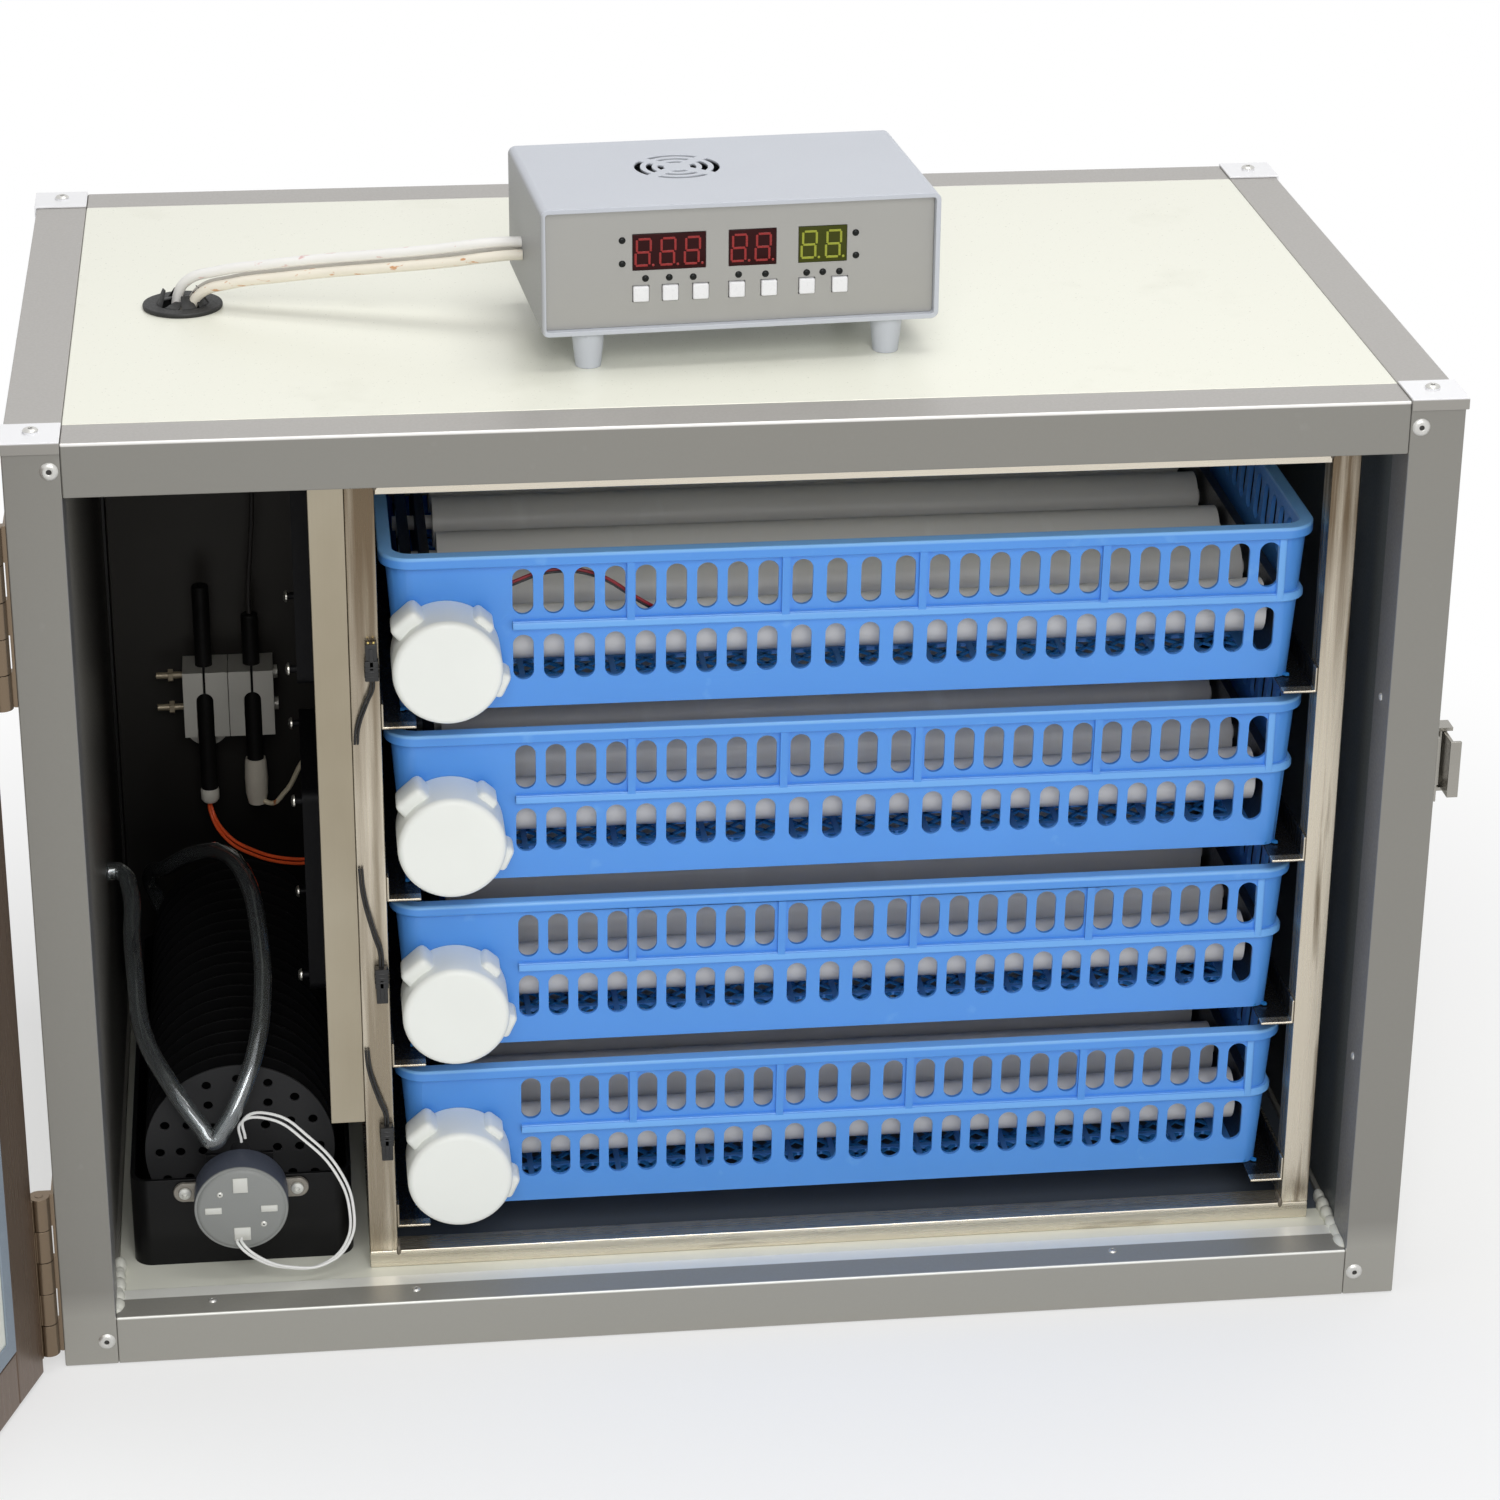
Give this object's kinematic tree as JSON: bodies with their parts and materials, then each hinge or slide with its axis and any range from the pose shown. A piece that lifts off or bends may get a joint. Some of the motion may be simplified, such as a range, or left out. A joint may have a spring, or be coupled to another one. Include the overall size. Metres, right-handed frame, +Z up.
{
  "type": "egg incubator",
  "caption": "Box-shaped egg incubator with a side-hung door, slide-out roller trays on a rack, a fan, heater and humidifier bay, and a controller on its roof.",
  "frame": {"origin": "under the middle of the cabinet, on the surface it stands on", "axes": "+Z up, -Y towards the front where the door is, +X to the right seen from the front"},
  "size_m": [1.0145, 1.1153, 0.601],
  "materials": {
    "frame": "satin",
    "caps": "satin",
    "roof_panel": "satin",
    "wall_panel": "satin",
    "rack_steel": "satin",
    "partition_steel": "satin",
    "fan_black": "matte",
    "pan_black": "satin",
    "drum_black": "matte",
    "motor_steel": "satin",
    "rod_black": "matte",
    "clamp_grey": "matte",
    "lead": "satin",
    "clear_tube": "gloss",
    "grommet_rubber": "matte",
    "case_plastic": "satin",
    "face_panel": "satin",
    "key_white": "gloss",
    "door_bronze": "satin",
    "door_board": "satin",
    "seal_rubber": "matte",
    "fitting_steel": "gloss",
    "basket_blue": "satin",
    "drive_white": "satin",
    "roller_grey": "satin"
  },
  "bodies": {
    "cabinet": {"cabinet_frame": "frame", "corner_caps": "caps", "top_panel": "roof_panel", "shell_panels": "wall_panel", "tray_rack": "rack_steel", "fan_partition": "partition_steel", "fan_housings": "fan_black", "water_pan": "pan_black", "drum_motor": "motor_steel", "heater_rods": "rod_black", "heater_clamp": "clamp_grey", "wiring": "lead", "water_tube": "clear_tube", "cable_grommet": "grommet_rubber", "controller_case": "case_plastic", "controller_panel": "face_panel", "cabinet_fittings": "fitting_steel"},
    "door": {"door_frame": "door_bronze", "door_panel": "door_board", "door_seal": "seal_rubber", "door_fittings": "fitting_steel"},
    "latch": {"latch_lever": "fitting_steel"},
    "fan_lower": {"fan_rotor_lower": "fan_black"},
    "fan_upper": {"fan_rotor_upper": "fan_black"},
    "drum": {"evaporator_drum": "drum_black"},
    "key_1": {"button_1": "key_white"},
    "key_2": {"button_2": "key_white"},
    "key_3": {"button_3": "key_white"},
    "key_4": {"button_4": "key_white"},
    "key_5": {"button_5": "key_white"},
    "key_6": {"button_6": "key_white"},
    "key_7": {"button_7": "key_white"},
    "tray_1": {"tray_1_basket": "basket_blue", "tray_1_drive": "drive_white"},
    "roller_1_1": {"tray_1_roller_1": "roller_grey"},
    "roller_1_2": {"tray_1_roller_2": "roller_grey"},
    "roller_1_3": {"tray_1_roller_3": "roller_grey"},
    "roller_1_4": {"tray_1_roller_4": "roller_grey"},
    "roller_1_5": {"tray_1_roller_5": "roller_grey"},
    "tray_2": {"tray_2_basket": "basket_blue", "tray_2_drive": "drive_white"},
    "roller_2_1": {"tray_2_roller_1": "roller_grey"},
    "roller_2_2": {"tray_2_roller_2": "roller_grey"},
    "roller_2_3": {"tray_2_roller_3": "roller_grey"},
    "roller_2_4": {"tray_2_roller_4": "roller_grey"},
    "roller_2_5": {"tray_2_roller_5": "roller_grey"},
    "tray_3": {"tray_3_basket": "basket_blue", "tray_3_drive": "drive_white"},
    "roller_3_1": {"tray_3_roller_1": "roller_grey"},
    "roller_3_2": {"tray_3_roller_2": "roller_grey"},
    "roller_3_3": {"tray_3_roller_3": "roller_grey"},
    "roller_3_4": {"tray_3_roller_4": "roller_grey"},
    "roller_3_5": {"tray_3_roller_5": "roller_grey"},
    "tray_4": {"tray_4_basket": "basket_blue", "tray_4_drive": "drive_white"},
    "roller_4_1": {"tray_4_roller_1": "roller_grey"},
    "roller_4_2": {"tray_4_roller_2": "roller_grey"},
    "roller_4_3": {"tray_4_roller_3": "roller_grey"},
    "roller_4_4": {"tray_4_roller_4": "roller_grey"},
    "roller_4_5": {"tray_4_roller_5": "roller_grey"}
  },
  "joints": [
    {"name": "door_hinge", "type": "hinge", "parent": "cabinet", "child": "door", "pos_m": [-0.3675, -0.21575, 0.258], "axis": [0, 0, -1], "range_deg": [-110, 65]},
    {"name": "latch_hinge", "type": "hinge", "parent": "cabinet", "child": "latch", "pos_m": [0.367, -0.195, 0.313], "axis": [0, 0, 1], "range_deg": [0, 150]},
    {"name": "fan_lower_spin", "type": "hinge", "parent": "cabinet", "child": "fan_lower", "pos_m": [-0.211, -0.0225, 0.207], "axis": [1, 0, 0], "continuous": true},
    {"name": "fan_upper_spin", "type": "hinge", "parent": "cabinet", "child": "fan_upper", "pos_m": [-0.211, -0.0225, 0.389], "axis": [1, 0, 0], "continuous": true},
    {"name": "drum_spin", "type": "hinge", "parent": "cabinet", "child": "drum", "pos_m": [-0.2645, -0.01, 0.082], "axis": [0, 1, 0], "continuous": true},
    {"name": "key_1_press", "type": "slide", "parent": "cabinet", "child": "key_1", "axis": [-0.0698, 0.9976, 0], "range_m": [0, 0.0012], "stiffness_N_per_m": 400},
    {"name": "key_2_press", "type": "slide", "parent": "cabinet", "child": "key_2", "axis": [-0.0698, 0.9976, 0], "range_m": [0, 0.0012], "stiffness_N_per_m": 400},
    {"name": "key_3_press", "type": "slide", "parent": "cabinet", "child": "key_3", "axis": [-0.0698, 0.9976, 0], "range_m": [0, 0.0012], "stiffness_N_per_m": 400},
    {"name": "key_4_press", "type": "slide", "parent": "cabinet", "child": "key_4", "axis": [-0.0698, 0.9976, 0], "range_m": [0, 0.0012], "stiffness_N_per_m": 400},
    {"name": "key_5_press", "type": "slide", "parent": "cabinet", "child": "key_5", "axis": [-0.0698, 0.9976, 0], "range_m": [0, 0.0012], "stiffness_N_per_m": 400},
    {"name": "key_6_press", "type": "slide", "parent": "cabinet", "child": "key_6", "axis": [-0.0698, 0.9976, 0], "range_m": [0, 0.0012], "stiffness_N_per_m": 400},
    {"name": "key_7_press", "type": "slide", "parent": "cabinet", "child": "key_7", "axis": [-0.0698, 0.9976, 0], "range_m": [0, 0.0012], "stiffness_N_per_m": 400},
    {"name": "tray_1_slide", "type": "slide", "parent": "cabinet", "child": "tray_1", "axis": [0, -1, 0], "range_m": [0, 0.2]},
    {"name": "tray_1_roller_1_spin", "type": "hinge", "parent": "tray_1", "child": "roller_1_1", "pos_m": [0.0615, -0.134, 0.085], "axis": [1, 0, 0], "continuous": true},
    {"name": "tray_1_roller_2_spin", "type": "hinge", "parent": "tray_1", "child": "roller_1_2", "pos_m": [0.0615, -0.0795, 0.085], "axis": [1, 0, 0], "continuous": true},
    {"name": "tray_1_roller_3_spin", "type": "hinge", "parent": "tray_1", "child": "roller_1_3", "pos_m": [0.0615, -0.025, 0.085], "axis": [1, 0, 0], "continuous": true},
    {"name": "tray_1_roller_4_spin", "type": "hinge", "parent": "tray_1", "child": "roller_1_4", "pos_m": [0.0615, 0.0295, 0.085], "axis": [1, 0, 0], "continuous": true},
    {"name": "tray_1_roller_5_spin", "type": "hinge", "parent": "tray_1", "child": "roller_1_5", "pos_m": [0.0615, 0.084, 0.085], "axis": [1, 0, 0], "continuous": true},
    {"name": "tray_2_slide", "type": "slide", "parent": "cabinet", "child": "tray_2", "axis": [0, -1, 0], "range_m": [0, 0.2]},
    {"name": "tray_2_roller_1_spin", "type": "hinge", "parent": "tray_2", "child": "roller_2_1", "pos_m": [0.0615, -0.134, 0.1825], "axis": [1, 0, 0], "continuous": true},
    {"name": "tray_2_roller_2_spin", "type": "hinge", "parent": "tray_2", "child": "roller_2_2", "pos_m": [0.0615, -0.0795, 0.1825], "axis": [1, 0, 0], "continuous": true},
    {"name": "tray_2_roller_3_spin", "type": "hinge", "parent": "tray_2", "child": "roller_2_3", "pos_m": [0.0615, -0.025, 0.1825], "axis": [1, 0, 0], "continuous": true},
    {"name": "tray_2_roller_4_spin", "type": "hinge", "parent": "tray_2", "child": "roller_2_4", "pos_m": [0.0615, 0.0295, 0.1825], "axis": [1, 0, 0], "continuous": true},
    {"name": "tray_2_roller_5_spin", "type": "hinge", "parent": "tray_2", "child": "roller_2_5", "pos_m": [0.0615, 0.084, 0.1825], "axis": [1, 0, 0], "continuous": true},
    {"name": "tray_3_slide", "type": "slide", "parent": "cabinet", "child": "tray_3", "axis": [0, -1, 0], "range_m": [0, 0.2]},
    {"name": "tray_3_roller_1_spin", "type": "hinge", "parent": "tray_3", "child": "roller_3_1", "pos_m": [0.0615, -0.134, 0.28], "axis": [1, 0, 0], "continuous": true},
    {"name": "tray_3_roller_2_spin", "type": "hinge", "parent": "tray_3", "child": "roller_3_2", "pos_m": [0.0615, -0.0795, 0.28], "axis": [1, 0, 0], "continuous": true},
    {"name": "tray_3_roller_3_spin", "type": "hinge", "parent": "tray_3", "child": "roller_3_3", "pos_m": [0.0615, -0.025, 0.28], "axis": [1, 0, 0], "continuous": true},
    {"name": "tray_3_roller_4_spin", "type": "hinge", "parent": "tray_3", "child": "roller_3_4", "pos_m": [0.0615, 0.0295, 0.28], "axis": [1, 0, 0], "continuous": true},
    {"name": "tray_3_roller_5_spin", "type": "hinge", "parent": "tray_3", "child": "roller_3_5", "pos_m": [0.0615, 0.084, 0.28], "axis": [1, 0, 0], "continuous": true},
    {"name": "tray_4_slide", "type": "slide", "parent": "cabinet", "child": "tray_4", "axis": [0, -1, 0], "range_m": [0, 0.2]},
    {"name": "tray_4_roller_1_spin", "type": "hinge", "parent": "tray_4", "child": "roller_4_1", "pos_m": [0.0615, -0.134, 0.3775], "axis": [1, 0, 0], "continuous": true},
    {"name": "tray_4_roller_2_spin", "type": "hinge", "parent": "tray_4", "child": "roller_4_2", "pos_m": [0.0615, -0.0795, 0.3775], "axis": [1, 0, 0], "continuous": true},
    {"name": "tray_4_roller_3_spin", "type": "hinge", "parent": "tray_4", "child": "roller_4_3", "pos_m": [0.0615, -0.025, 0.3775], "axis": [1, 0, 0], "continuous": true},
    {"name": "tray_4_roller_4_spin", "type": "hinge", "parent": "tray_4", "child": "roller_4_4", "pos_m": [0.0615, 0.0295, 0.3775], "axis": [1, 0, 0], "continuous": true},
    {"name": "tray_4_roller_5_spin", "type": "hinge", "parent": "tray_4", "child": "roller_4_5", "pos_m": [0.0615, 0.084, 0.3775], "axis": [1, 0, 0], "continuous": true}
  ],
  "couplings": [
    {"joint": "tray_1_roller_2_spin", "follows": "tray_1_roller_1_spin", "ratio": 1},
    {"joint": "tray_1_roller_3_spin", "follows": "tray_1_roller_1_spin", "ratio": 1},
    {"joint": "tray_1_roller_4_spin", "follows": "tray_1_roller_1_spin", "ratio": 1},
    {"joint": "tray_1_roller_5_spin", "follows": "tray_1_roller_1_spin", "ratio": 1},
    {"joint": "tray_2_roller_2_spin", "follows": "tray_2_roller_1_spin", "ratio": 1},
    {"joint": "tray_2_roller_3_spin", "follows": "tray_2_roller_1_spin", "ratio": 1},
    {"joint": "tray_2_roller_4_spin", "follows": "tray_2_roller_1_spin", "ratio": 1},
    {"joint": "tray_2_roller_5_spin", "follows": "tray_2_roller_1_spin", "ratio": 1},
    {"joint": "tray_3_roller_2_spin", "follows": "tray_3_roller_1_spin", "ratio": 1},
    {"joint": "tray_3_roller_3_spin", "follows": "tray_3_roller_1_spin", "ratio": 1},
    {"joint": "tray_3_roller_4_spin", "follows": "tray_3_roller_1_spin", "ratio": 1},
    {"joint": "tray_3_roller_5_spin", "follows": "tray_3_roller_1_spin", "ratio": 1},
    {"joint": "tray_4_roller_2_spin", "follows": "tray_4_roller_1_spin", "ratio": 1},
    {"joint": "tray_4_roller_3_spin", "follows": "tray_4_roller_1_spin", "ratio": 1},
    {"joint": "tray_4_roller_4_spin", "follows": "tray_4_roller_1_spin", "ratio": 1},
    {"joint": "tray_4_roller_5_spin", "follows": "tray_4_roller_1_spin", "ratio": 1}
  ]
}
